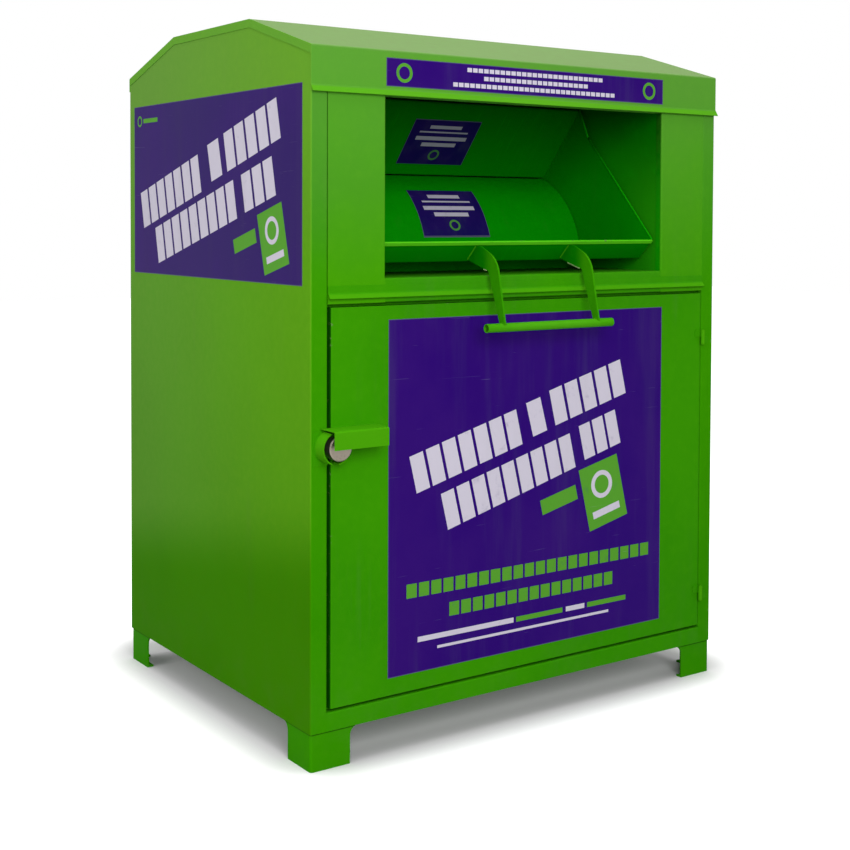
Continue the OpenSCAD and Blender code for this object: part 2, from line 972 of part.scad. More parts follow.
module tray_label() {
    run = plate_top - back_foot;
    outward = left_of(unit(run));
    purple() along_x(-label_half, label_half)
        polygon([
            for (k = [[0, 0], [1, 0], [1, 1], [0, 1]])
                front(back_foot + tray_label_at[k.x] * run + (seat_gap + k.y * skin_t) * outward)
        ]);
}

side_panel_left();
side_panel_right();
back_panel();
floor_panel();
roof_cap();
front_cheek_left();
front_cheek_right();
sill_panel();
header_angle();
door_drip_strip();
bottom_rail();
door_stops();
leg_front_left();
leg_front_right();
leg_rear_left();
leg_rear_right();
foot_plates();
chute_liner_left();
chute_liner_right();
drum_panel();
drum_gussets();
cross_rail();
chute_bolts();
pivot_pins();
pivot_nuts();
rest_bumpers();
open_stops();
side_stiffeners();
back_stiffeners();
frame_hinge_barrels();
hinge_pins();
lock_backplate();
lock_ring_frame();
side_decal_left();
side_decal_right();
fascia_decal();
drum_label();
tray_plate_left();
tray_plate_right();
tray_pan();
tray_lip();
tray_back();
pivot_bushes();
handle_arm_left();
handle_arm_right();
handle_tube();
tray_label();
door_pan();
door_stiffeners();
door_hinge_barrels();
lock_hood();
lock_ring_door();
door_hasp();
door_decal();
lock_puck();
lock_shackle();
key_plug();
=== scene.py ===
import math

import bmesh
import bpy
from mathutils import Matrix, Vector


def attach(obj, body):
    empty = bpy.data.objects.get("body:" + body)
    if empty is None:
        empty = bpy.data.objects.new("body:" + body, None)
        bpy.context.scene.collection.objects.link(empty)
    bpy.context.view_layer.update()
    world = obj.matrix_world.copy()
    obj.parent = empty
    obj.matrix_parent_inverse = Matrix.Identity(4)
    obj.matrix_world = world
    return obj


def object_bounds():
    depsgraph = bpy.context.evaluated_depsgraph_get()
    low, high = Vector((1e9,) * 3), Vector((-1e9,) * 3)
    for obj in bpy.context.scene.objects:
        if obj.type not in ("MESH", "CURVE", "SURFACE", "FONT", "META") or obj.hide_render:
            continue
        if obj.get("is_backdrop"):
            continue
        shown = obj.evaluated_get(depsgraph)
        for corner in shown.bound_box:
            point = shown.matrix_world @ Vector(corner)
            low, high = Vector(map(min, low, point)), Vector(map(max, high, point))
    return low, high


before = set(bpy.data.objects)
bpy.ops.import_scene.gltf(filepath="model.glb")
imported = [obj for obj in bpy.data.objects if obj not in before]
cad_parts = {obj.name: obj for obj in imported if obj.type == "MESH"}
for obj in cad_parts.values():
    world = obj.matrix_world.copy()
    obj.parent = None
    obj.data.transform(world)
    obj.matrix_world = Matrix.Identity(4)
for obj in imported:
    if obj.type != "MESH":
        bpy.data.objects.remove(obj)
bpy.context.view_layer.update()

# ---------- sizes, in metres, as the CAD model has them ----------

FRONT = -0.600                    # face of the cheeks, posts and door
SKIN_X = 0.762                    # outer face of the side panels
SILL = 1.331
SKIRT = 0.104                     # underside of the cabinet
ROOF_FOLD = (1.950, 1.964)        # heights between which the fascia turns into the roof
CHUTE_DIM = (1.50, 1.84)          # heights over which the chute grows darker
LIP = Vector((0.0, -0.571, 1.430))
TOE = Vector((0.0, -0.511, 1.370))
PLATE_BEND = Vector((0.0, -0.262, 1.769))
PLATE_TOP = Vector((0.0, -0.219, 1.862))
PLATE_X = 0.513
TUBE = Vector((0.0, -0.684, 1.185))
TUBE_R = 0.0127
ARM_X = 0.178
ARM_T = 0.006
DOOR_X = (-0.700, 0.708)
DOOR_Z = (0.164, 1.255)
HINGE = Vector((0.709, -0.6085, 0.0))
HINGE_Z = (0.271, 1.113)
LEAF_X = 0.0272                   # from the hinge's axis to the weld beside a leaf
LEAF_Z = 0.022                    # height of a leaf
LOCK = Vector((-0.698, -0.652, 0.881))
GUARD = Vector((-0.705, FRONT, 0.881))
HOOD_Z = 0.931
HOOD_X = (-0.732, -0.560)
WEB_END = Vector((0.0, -0.606, 1.3475))     # lowest point of a handle arm's web

SIDE_DECAL = (0.0055, 1.586)      # middle, as Y and Z
DOOR_DECAL = (0.0085, 0.714)      # middle, as X and Z
FASCIA_DECAL_Z = 1.8985
DRUM_LABEL_Z = 1.515
TRAY_LABEL_Z = 1.7405
DRUM_SLANT = 1.22                 # length along the sheet for one unit of height
TRAY_SLANT = 1.31


def tone(red, green, blue):
    """A colour as a screen shows it, 0 to 255, as the shader wants it."""
    def linear(level):
        level /= 255
        return level / 12.92 if level <= 0.04045 else ((level + 0.055) / 1.055) ** 2.4
    return (linear(red), linear(green), linear(blue), 1.0)


# ---------- shader maths ----------

class Wire:
    """An output socket. Python's signs on it add Math nodes to its finish."""

    def __init__(self, finish, socket):
        self.finish = finish
        self.socket = socket

    def maths(self, operation, *others):
        return self.finish.maths(operation, self, *others)

    def __add__(self, other):
        return self.maths("ADD", other)

    def __mul__(self, other):
        return self.maths("MULTIPLY", other)

    __radd__ = __add__
    __rmul__ = __mul__

    def __sub__(self, other):
        return self.maths("SUBTRACT", other)

    def __rsub__(self, other):
        return self.finish.maths("SUBTRACT", other, self)

    def __pow__(self, other):
        return self.maths("POWER", other)

    def __abs__(self):
        return self.maths("ABSOLUTE")


class Finish:
    """One material. node() adds any node; the rest are the few that come often."""

    def __init__(self, name, tree=None):
        if tree is None:
            self.material = bpy.data.materials.new(name)
            self.material.use_nodes = True
            tree = self.material.node_tree
        self.tree = tree
        self.tree.nodes.clear()

    def node(self, kind, settings=None, inputs=None, out=0):
        made = self.tree.nodes.new(kind)
        for name, value in (settings or {}).items():
            if name == "stops":
                ramp = made.color_ramp.elements
                while len(ramp) < len(value):
                    ramp.new(1.0)
                for element, (position, colour) in zip(ramp, value):
                    element.position = position
                    element.color = colour
            else:
                setattr(made, name, value)
        for key, value in (inputs or {}).items():
            if isinstance(value, Wire):
                self.tree.links.new(value.socket, made.inputs[key])
            else:
                made.inputs[key].default_value = value
        return Wire(self, made.outputs[out]) if made.outputs else None

    def maths(self, operation, *values):
        return self.node("ShaderNodeMath", {"operation": operation}, dict(enumerate(values)))

    def place(self):
        return self.node("ShaderNodeTexCoord", out="Object")

    def axes(self):
        """The point's X, Y and Z in the part's frame."""
        split = self.node("ShaderNodeSeparateXYZ", inputs={0: self.place()}).socket.node
        return [Wire(self, split.outputs[i]) for i in range(3)]

    def vector(self, x, y, z):
        return self.node("ShaderNodeCombineXYZ", inputs={0: x, 1: y, 2: z})

    def noise(self, scale, detail=2.0, rough=0.5, stretch=(1, 1, 1), at=None, twist=0.0):
        spot = self.node("ShaderNodeVectorMath", {"operation": "MULTIPLY"},
                         {0: at or self.place(), 1: stretch})
        return self.node("ShaderNodeTexNoise", inputs={
            "Vector": spot, "Scale": scale, "Detail": detail, "Roughness": rough,
            "Distortion": twist})

    def fade(self, value, low, high):
        """0 up to low and 1 from high, or the other way round, with a soft step between."""
        return self.node("ShaderNodeMapRange", {"interpolation_type": "SMOOTHSTEP"},
                         {0: value, 1: low, 2: high})

    def within(self, value, low, high, soft=0.0005):
        half = (high - low) / 2
        return self.fade(abs(value - (low + high) / 2), half + soft, half - soft)

    def mix(self, factor, a, b):
        return self.node("ShaderNodeMix", {"data_type": "RGBA"}, {0: factor, 6: a, 7: b}, out=2)

    def bump(self, height, distance, strength=1.0, under=None):
        inputs = {"Height": height, "Distance": distance, "Strength": strength}
        if under is not None:
            inputs["Normal"] = under
        return self.node("ShaderNodeBump", inputs=inputs)

    def close(self, **inputs):
        """Ends the material in a Principled shader; a_b stands for the socket A B."""
        sockets = {key.replace("_", " "): value for key, value in inputs.items()}
        surface = self.node("ShaderNodeBsdfPrincipled", inputs=sockets)
        self.node("ShaderNodeOutputMaterial", inputs={0: surface})
        return self.material


# ---------- finishes ----------

LIME = tone(62, 160, 2)
LIME_LIGHT = tone(84, 176, 12)
LIME_DEEP = tone(40, 138, 0)
OUTSIDE = (LIME, LIME_LIGHT, LIME_DEEP)
UPPER_LIT = (tone(72, 167, 3), tone(94, 183, 14), tone(50, 145, 0))   # cheeks and roof, a little lighter: painted light from above
CHUTE = (tone(6, 154, 1), tone(16, 170, 3), tone(0, 128, 0))      # never faded by the sun
SHADE = tone(0, 84, 0)            # the chute where it is darkest
SUNLIT = tone(44, 156, 8)         # the chute walls' front edges
# inner parts a tone darker than the outside: painted shade
INNER_SHADED = (LIME_DEEP, LIME, tone(24, 104, 0))
# lighter than the rest: painted light on the handle tube
HANDLE_LIT = (tone(74, 174, 10), tone(100, 190, 34), tone(58, 152, 4))
LIP_HIGHLIGHT_TONES = (tone(100, 218, 30), tone(126, 226, 58), tone(76, 198, 14))   # painted highlight on the tray lip
CHALK_AND_SHEEN = tone(140, 178, 100)       # paler paint near the roof: partly sun bleaching, partly a painted sky reflection
SUNNED = tone(134, 192, 44)       # the yellower tone of the side walls
SUNNED_SHEEN = tone(140, 178, 84)  # the same, paler towards the back: a painted sheen
SIDE_LOW_SHADE = tone(74, 120, 0)         # painted shade on the side walls low down
ROOF_CHALK = tone(122, 150, 92)   # where the roof faces the sky
PRIMER = tone(112, 138, 84)
# painted shadow in a joint
SEAM_SHADOW_TONE = tone(22, 58, 8)
LOW_SHADE_TONE = tone(18, 84, 0)            # painted shade low down, inside and out
DUST = tone(132, 136, 96)
PURPLE = tone(46, 4, 118)
PURPLE_PALE = tone(66, 28, 124)
PURPLE_DULL = tone(48, 24, 104)
NAVY = tone(14, 12, 88)
VINYL_WHITE = tone(222, 216, 232)
VINYL_GREEN = tone(92, 168, 50)


def powder_coat(name, tones=OUTSIDE, wave=1.0, dust=0.5, bleach_and_sheen=0.30,
                tint_and_shade=None, rub_and_sheen=None, wear=None, seam_shadow=None, rough=0.40, shine=0.02):
    """Powder coat on sheet steel. tones are its middle, light and deep colours. Near the roof it
    pales by a given amount: partly sun fading, partly a painted sky reflection. The other
    arguments give masks: a tint and its colour, real on some parts and painted shade on
    others; rubbed paint, which on the folds is a painted highlight; chips down to the
    primer; and a painted shadow in a joint."""
    base, light, deep = tones
    f = Finish(name)
    x, y, z = f.axes()
    clouds = f.noise(1.7, 4.0, 0.55)
    mottle = f.noise(38.0, 3.0, 0.6)
    peel = f.noise(330.0, 2.0, 0.5)
    streaks = f.noise(1.0, 5.0, 0.65, (22.0, 22.0, 1.3))
    speck = f.noise(900.0, 1.0, 0.5)

    colour = f.mix(f.fade(clouds, 0.35, 0.68) * 0.4, base, deep)
    colour = f.mix(f.fade(mottle, 0.42, 0.75) * 0.14, colour, light)
    colour = f.mix(f.fade(streaks, 0.56, 0.78) * 0.10, colour, deep)
    colour = f.mix(f.fade(speck, 0.58, 0.72) * 0.16, colour, light)
    # paler towards the roof: partly sun fading, partly a painted sky reflection
    faded = f.fade(z + clouds * 0.5, 1.45, 2.30)
    colour = f.mix(faded * bleach_and_sheen, colour, CHALK_AND_SHEEN)
    # a colour laid on where a mask says: a real tint on some parts, painted shade on others
    if tint_and_shade is not None:
        mask, turned = tint_and_shade(f, x, y, z)
        colour = f.mix(mask * (0.80 + mottle * 0.4), colour, turned)

    # painted shade: darker towards the bottom
    low_shade = f.fade(z + clouds * 0.3, 1.25, 0.20) * (0.75 + mottle * 0.5)
    colour = f.mix(low_shade * 0.06, colour, LOW_SHADE_TONE)
    splash = f.fade(z, 0.42, 0.08) * f.fade(f.noise(9.0, 6.0, 0.7), 0.42, 0.72)
    run = f.fade(streaks, 0.52, 0.80) * f.fade(clouds, 0.40, 0.62)
    dirt = (splash * 0.10 + run * 0.14) * dust
    colour = f.mix(dirt, colour, DUST)

    roughness = rough + clouds * 0.08 + dirt * 0.5 + faded * 0.08 + f.fade(mottle, 0.3, 0.8) * 0.06
    height = peel * 0.6 + mottle * 0.4
    # rubbed paint, and on the folds a painted highlight
    if rub_and_sheen is not None:
        rub_and_sheen_mask = rub_and_sheen(f, x, y, z)
        colour = f.mix(rub_and_sheen_mask * 0.30, colour, light)
        roughness = roughness + rub_and_sheen_mask * 0.12
    # painted shadow in a joint
    if seam_shadow is not None:
        colour = f.mix(seam_shadow(f, x, y, z) * 0.75, colour, SEAM_SHADOW_TONE)
    metal = 0.0
    if wear is not None:
        chips = wear(f, x, y, z)
        colour = f.mix(chips * 0.8, colour, PRIMER)
        roughness = roughness + chips * 0.15
        height = height - chips * 1.6
        metal = chips * 0.25
    normal = f.bump(f.noise(2.3, 1.0, 0.4), 0.010 * wave, 0.5)
    normal = f.bump(height, 0.00022, 0.55, normal)
    return f.close(Base_Color=colour, Roughness=roughness, Metallic=metal, Normal=normal,
                   Specular_IOR_Level=shine)


def chips_where(zone, low=0.71, high=0.74, scale=75.0):
    """Small chips of paint, in the zone that a function of the axes gives."""
    def mask(f, x, y, z):
        spots = f.noise(scale, 5.0, 0.62, twist=0.4)
        return f.fade(spots * 0.75 + zone(f, x, y, z) * 0.25, low, high)
    return mask


def door_edges(f, x, y, z):
    left = f.fade(abs(x - DOOR_X[0]), 0.020, 0.0)
    right = f.fade(abs(x - DOOR_X[1]), 0.016, 0.0)
    foot = f.fade(abs(z - DOOR_Z[0]), 0.018, 0.0)
    head = f.fade(abs(z - DOOR_Z[1]), 0.014, 0.0)
    return left.maths("MAXIMUM", right).maths("MAXIMUM", foot).maths("MAXIMUM", head)


def door_gap_shade(f, x, y, z):
    """The door's edges that face the gap around it, darkened: painted shade in the gap."""
    left = f.fade(x, DOOR_X[0] + 0.003, DOOR_X[0] + 0.001)
    right = f.fade(x, DOOR_X[1] - 0.003, DOOR_X[1] - 0.001)
    foot = f.fade(z, DOOR_Z[0] + 0.003, DOOR_Z[0] + 0.001)
    head = f.fade(z, DOOR_Z[1] - 0.003, DOOR_Z[1] - 0.001)
    rim = left.maths("MAXIMUM", right).maths("MAXIMUM", foot).maths("MAXIMUM", head)
    return rim * f.fade(y, FRONT + 0.0005, FRONT + 0.0025) * 0.85, SHADE


def drag_marks(f, x, y, z):
    """Marks that bags leave on the way into the chute."""
    fine = f.noise(1.0, 3.0, 0.6, (130.0, 9.0, 9.0), twist=0.25)
    broad = f.noise(3.1, 3.0, 0.6)
    return f.fade(fine, 0.55, 0.75) * f.fade(broad, 0.38, 0.62)


def lip_zone(f, x, y, z):
    return f.fade(abs(z - LIP.z), 0.030, 0.0) * f.fade(abs(x), 0.56, 0.30)


def shelf_zone(f, x, y, z):
    return f.fade(abs(z - SILL), 0.012, 0.0)


def low_zone(f, x, y, z):
    return f.fade(z, 0.060, 0.0)


def fold_highlight(f, x, y, z):
    """The folds that stand out in front, lightened: a painted highlight."""
    return f.fade(y, FRONT - 0.0035, FRONT - 0.0060) * 2.2


def side_tint_shade_and_sheen(f, x, y, z):
    """The outer faces of the side walls: painted shade low down, a yellower tone above it, and a
    painted sheen that makes it paler towards the back.
    """
    faded = f.mix(f.fade(y, -0.6, 0.6), SUNNED, SUNNED_SHEEN)
    above_low_shade = f.fade(z + y * 0.16, 0.40, 0.66) * 0.8 + f.fade(z, 0.5, 1.3) * 0.2
    outside = f.fade(abs(x), SKIN_X - 0.0035, SKIN_X - 0.0008)
    return outside * 0.42, f.mix(above_low_shade, SIDE_LOW_SHADE, faded)


def chalked_roof(f, x, y, z):
    """What faces the sky is chalky; the side flanges have turned as the walls have."""
    flange = f.fade(abs(x), SKIN_X - 0.0005, SKIN_X + 0.0012)
    top = f.fade(z, *ROOF_FOLD) * (1 - flange)
    return top * 0.85 + flange * 0.25, f.mix(flange, ROOF_CHALK, SUNNED)


def shaded_chute(f, x, y, z):
    """The top of the chute and the tray's front wall, which get little light and wear."""
    return f.fade(z, *CHUTE_DIM) * 0.48 + f.fade(z, 1.428, 1.400) * 0.35, SHADE


def lit_liner(f, x, y, z):
    """The chute walls: sunlit at their front edges and in the shade at the top."""
    high = f.fade(z, *CHUTE_DIM)
    front = f.fade(y, -0.30, -0.57) * 0.75
    return high * 0.6 + (1 - high) * front, f.mix(high, SUNLIT, SHADE)


def inward_fold(f, x, y, z):
    """The cheeks' folds that run back into the opening, in the chute's colour with painted shade
    that grows towards the top.
    """
    turned = f.mix(f.fade(z, *CHUTE_DIM), CHUTE[0], SHADE)
    return f.fade(y, FRONT + 0.002, FRONT + 0.008) * 0.9, turned


def sheltered_arm(f, x, y, z):
    """The end of a handle arm that stays in the chute's shade."""
    return f.fade(y, -0.640, -0.585) * 0.9, CHUTE[2]


def skirt_shadow_line(f, x, y, z):
    """A painted shadow along the top of a leg, under the edge of the skin."""
    return f.within(z, SKIRT - 0.0035, SKIRT + 0.001, 0.0012)


def hand_zone(f, x, y, z):
    return f.fade(abs(x), 0.235, 0.10) * f.fade(abs(z - TUBE.z), 0.05, 0.02)


def turned_steel(name, centre, base, rough):
    """Steel turned on a lathe about an axis along Y through the centre."""
    f = Finish(name)
    x, y, z = f.axes()
    dx, dz = x - centre.x, z - centre.z
    radius = (dx * dx + dz * dz) ** 0.5
    rings = f.noise(1.0, 2.0, 0.6, (2600.0, 0.0, 0.0), at=f.vector(radius, 0.0, 0.0))
    grime = f.noise(160.0, 4.0, 0.6)
    colour = f.mix(f.fade(grime, 0.52, 0.78) * 0.4, base, tone(96, 84, 80))
    return f.close(Base_Color=colour, Metallic=0.85,
                   Roughness=rough + rings * 0.16 + f.fade(grime, 0.5, 0.8) * 0.2,
                   Normal=f.bump(rings + grime * 0.4, 0.00006, 0.6))


def plated_steel(name, base, rough, metal=1.0):
    f = Finish(name)
    bloom = f.noise(70.0, 4.0, 0.6)
    grain = f.noise(600.0, 2.0, 0.5)
    colour = f.mix(f.fade(bloom, 0.45, 0.72) * 0.5, base, tone(150, 140, 110))
    return f.close(Base_Color=colour, Metallic=metal, Roughness=rough + bloom * 0.25,
                   Normal=f.bump(grain, 0.00005, 0.5))


def soft_plastic(name, base, worn, rough, grain_scale):
    f = Finish(name)
    grain = f.noise(grain_scale, 3.0, 0.6)
    patches = f.noise(45.0, 3.0, 0.6)
    colour = f.mix(f.fade(patches, 0.4, 0.75) * 0.5, base, worn)
    return f.close(Base_Color=colour, Roughness=rough + grain * 0.12,
                   Normal=f.bump(grain, 0.0001, 0.6))


# ---------- printed vinyl, with a plain pattern of bars, rings and a tile ----------

def vinyl(name, width, height, across, up, marks, base=PURPLE, print_strength=1.0):
    """Cast vinyl. across and up turn the axes into places on the decal, from its middle.
    The last argument is how strongly the print shows; turned down on the chute's labels, it
    dulls their print as painted shade."""
    f = Finish(name)
    x, y, z = f.axes()
    u, v = across(x, y, z), up(x, y, z)
    edge = (width / 2 - abs(u)).maths("MINIMUM", height / 2 - abs(v))
    clouds = f.noise(3.0, 4.0, 0.6)
    grain = f.noise(420.0, 2.0, 0.5)
    colour = f.mix(f.fade(clouds, 0.35, 0.7) * 0.30, base, PURPLE_PALE)
    colour = f.mix(f.fade(grain, 0.5, 0.7) * 0.10, colour, PURPLE_PALE)
    thin = 1 - f.fade(f.noise(26.0, 4.0, 0.65), 0.58, 0.80) * 0.25
    for mask, colour_of_mark in (mark(f, u, v) for mark in marks):
        colour = f.mix(mask * thin * print_strength, colour, colour_of_mark)
    lifted = f.fade(edge, 0.0030, 0.0012)
    colour = f.mix(lifted * 0.45, colour, tone(118, 124, 132))
    haze = f.fade(f.noise(1.0, 5.0, 0.6, (16.0, 16.0, 1.2)), 0.45, 0.8)
    colour = f.mix(haze * 0.06, colour, DUST)
    bubbles = f.fade(f.noise(120.0, 1.0, 0.4), 0.74, 0.80)
    scratches = f.fade(f.noise(1.0, 2.0, 0.5, (7.0, 7.0, 240.0), twist=0.6), 0.72, 0.77)
    colour = f.mix(scratches * 0.08, colour, VINYL_WHITE)
    normal = f.bump(f.noise(2.3, 1.0, 0.4), 0.010, 0.4)
    normal = f.bump(grain * 0.35 + bubbles * 0.9 - lifted * 0.6, 0.00018, 0.5, normal)
    return f.close(Base_Color=colour, Normal=normal, Specular_IOR_Level=0.04,
                   Roughness=0.38 + clouds * 0.10 + haze * 0.15 + scratches * 0.2)


def bar(cu, cv, length, thick, angle=0.0, lean=0.0, colour=VINYL_WHITE, blocks=1):
    """A printed bar, turned by the angle, with leaning ends, or a row of such blocks."""
    c, s = math.cos(angle), math.sin(angle)

    def mark(f, u, v):
        du, dv = u - cu, v - cv
        along, rise = du * c + dv * s, dv * c - du * s
        slanted = along - rise * lean
        mask = f.within(rise, -thick / 2, thick / 2) * f.within(slanted, -length / 2, length / 2)
        if blocks > 1:
            pitch = length / blocks
            spot = (slanted + length / 2 + pitch * 8).maths("MODULO", pitch)
            mask = mask * f.within(spot, pitch * 0.09, pitch * 0.91)
        return mask, colour
    return mark


def ring(cu, cv, radius, line, colour=VINYL_GREEN):
    """A printed ring."""
    def mark(f, u, v):
        du, dv = u - cu, v - cv
        return f.within((du * du + dv * dv) ** 0.5, radius - line, radius), colour
    return mark


def tile(cu, cv, wide, high, angle):
    """A turned green tile with a white ring and a white bar on it."""
    down = Vector((math.sin(angle), -math.cos(angle))) * high
    return [bar(cu, cv, wide, high, angle, 0.0, VINYL_GREEN),
            ring(cu - down.x * 0.14, cv - down.y * 0.14, wide * 0.27, wide * 0.09, VINYL_WHITE),
            bar(cu + down.x * 0.29, cv + down.y * 0.29, wide * 0.70, high * 0.11, angle)]


DOOR_MARKS = [
    bar(-0.248, 0.113, 0.406, 0.109, 0.27, 0.03, blocks=7), bar(0.009, 0.190, 0.056, 0.106, 0.27),
    bar(0.213, 0.251, 0.308, 0.110, 0.27, 0.03, blocks=5),
    bar(-0.089, 0.010, 0.509, 0.109, 0.27, 0.03, blocks=9),
    bar(0.262, 0.115, 0.163, 0.109, 0.27, 0.03, blocks=3),
    *tile(0.278, -0.067, 0.160, 0.200, 0.24),
    bar(0.099, -0.070, 0.143, 0.046, 0.24, 0.0, VINYL_GREEN),
    bar(0.006, -0.267, 0.939, 0.040, 0.0, 0.0, VINYL_GREEN, 22),
    bar(0.004, -0.339, 0.637, 0.040, 0.0, 0.0, VINYL_GREEN, 15),
    bar(-0.248, -0.409, 0.346, 0.015), bar(0.025, -0.409, 0.180, 0.015, 0.0, 0.0, VINYL_GREEN),
    bar(0.166, -0.409, 0.075, 0.015), bar(0.295, -0.409, 0.160, 0.015, 0.0, 0.0, VINYL_GREEN),
    bar(-0.025, -0.441, 0.656, 0.008),
]
SIDE_MARKS = [
    bar(-0.281, -0.012, 0.454, 0.118, 0.26, 0.03, blocks=7), bar(0.036, 0.082, 0.074, 0.114, 0.26),
    bar(0.267, 0.144, 0.345, 0.116, 0.26, 0.03, blocks=5),
    bar(-0.106, -0.109, 0.578, 0.116, 0.26, 0.03, blocks=9),
    bar(0.309, 0.003, 0.202, 0.112, 0.26, 0.03, blocks=3),
    *tile(0.396, -0.149, 0.146, 0.176, 0.26),
    bar(0.228, -0.158, 0.139, 0.042, 0.26, 0.0, VINYL_GREEN),
    ring(-0.515, 0.225, 0.018, 0.006), bar(-0.430, 0.225, 0.110, 0.014, 0.0, 0.0, VINYL_GREEN),
]
FASCIA_MARKS = [
    ring(-0.465, 0.0, 0.027, 0.009), ring(0.465, 0.0, 0.027, 0.009),
    bar(0.010, 0.022, 0.520, 0.012, blocks=26), bar(0.010, 0.000, 0.400, 0.012, blocks=20),
    bar(0.010, -0.022, 0.620, 0.012, blocks=31),
]
LABEL_MARKS = [
    bar(0.0, 0.062, 0.125, 0.013), bar(0.0, 0.042, 0.190, 0.006), bar(0.0, 0.017, 0.200, 0.015),
    bar(0.0, -0.008, 0.135, 0.015), ring(0.0, -0.050, 0.021, 0.007),
]


# ---------- building pieces ----------

def piece(name, bm, material, body, smooth=True):
    """Makes a mesh object of the bmesh, riding on a body."""
    bmesh.ops.recalc_face_normals(bm, faces=bm.faces)
    mesh = bpy.data.meshes.new(name)
    bm.to_mesh(mesh)
    bm.free()
    made = bpy.data.objects.new(name, mesh)
    bpy.context.scene.collection.objects.link(made)
    mesh.materials.append(material)
    if smooth:
        mesh.polygons.foreach_set("use_smooth", [True] * len(mesh.polygons))
    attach(made, body)
    return made


def weld(name, runs, body, material, radius=0.0022, step=0.0021):
    """Welds as rows of overlapping flat scales along each run of points."""
    bm = bmesh.new()
    for points in runs:
        for a, b in zip(points, points[1:]):
            run = Vector(b) - Vector(a)
            count = max(1, round(run.length / step))
            turn = run.to_track_quat("Z", "Y").to_matrix().to_4x4()
            for i in range(count):
                swell = 1.0 + 0.12 * math.sin(2.1 * i) * math.cos(0.7 * i)
                place = Matrix.Translation(Vector(a) + run * (i + 0.5) / count) @ turn
                size = Matrix.Diagonal((radius * swell, radius * swell, step * 0.95, 1.0))
                bmesh.ops.create_uvsphere(bm, u_segments=8, v_segments=5, radius=1.0,
                                          matrix=place @ size)
    return piece(name, bm, material, body)


def rod(name, runs, radius, body, material):
    """Round wire along each run of points, with a ball in every bend."""
    bm = bmesh.new()
    for points in runs:
        for a, b in zip(points, points[1:]):
            run = b - a
            turn = run.to_track_quat("Z", "Y").to_matrix().to_4x4()
            bmesh.ops.create_cone(bm, cap_ends=True, segments=16, radius1=radius,
                                  radius2=radius, depth=run.length,
                                  matrix=Matrix.Translation((a + b) / 2) @ turn)
        for point in points:
            bmesh.ops.create_uvsphere(bm, u_segments=16, v_segments=9, radius=radius,
                                      matrix=Matrix.Translation(point))
    return piece(name, bm, material, body)


def arc_points(centre, radius, start, end, count, plane="xz"):
    """Points on an arc, angles in degrees."""
    points = []
    for i in range(count + 1):
        a = math.radians(start + (end - start) * i / count)
        c, s = radius * math.cos(a), radius * math.sin(a)
        offset = (c, 0.0, s) if plane == "xz" else (0.0, c, s)
        points.append(Vector(centre) + Vector(offset))
    return points


def dress(material, *names):
    """Gives CAD nodes a finish."""
    for name in names:
        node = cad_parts[name]
        if not node.material_slots:
            node.data.materials.append(material)
        for slot in node.material_slots:
            slot.material = material


# ---------- camera, floor, light ----------

def set_camera():
    """Stands where the photographer stood; found from corners seen in the photograph."""
    yaw, pitch, roll = 0.6095, -0.0317, 0.0039
    ahead = Vector((math.sin(yaw) * math.cos(pitch), math.cos(yaw) * math.cos(pitch),
                    math.sin(pitch)))
    level = Vector((math.cos(yaw), -math.sin(yaw), 0.0))
    upright = level.cross(ahead)
    right = level * math.cos(roll) + upright * math.sin(roll)
    up = upright * math.cos(roll) - level * math.sin(roll)
    data = bpy.data.cameras.new("camera")
    data.lens = 59.15
    data.sensor_width = 36.0
    data.shift_y = (261 - 425) / 850
    data.clip_end = 100.0
    camera = bpy.data.objects.new("camera", data)
    turn = Matrix((right, up, -ahead)).transposed().to_4x4()
    camera.matrix_world = Matrix.Translation((-2.6391, -3.8186, 1.5007)) @ turn
    bpy.context.scene.collection.objects.link(camera)
    bpy.context.scene.camera = camera


def set_lamp(name, place, aim, size, power):
    data = bpy.data.lights.new(name, "AREA")
    data.shape = "RECTANGLE"
    data.size, data.size_y = size
    data.energy = power
    lamp = bpy.data.objects.new(name, data)
    turn = (Vector(aim) - Vector(place)).to_track_quat("-Z", "Y").to_matrix().to_4x4()
    lamp.matrix_world = Matrix.Translation(place) @ turn
    bpy.context.scene.collection.objects.link(lamp)


def seen_directly(f):
    """1 for the rays that show the background itself, also in metal and glass."""
    path = f.node("ShaderNodeLightPath").socket.node.outputs
    camera, glossy, through = (
        Wire(f, path[n]) for n in ("Is Camera Ray", "Is Glossy Ray", "Is Transmission Ray"))
    return camera.maths("MAXIMUM", glossy).maths("MAXIMUM", through)


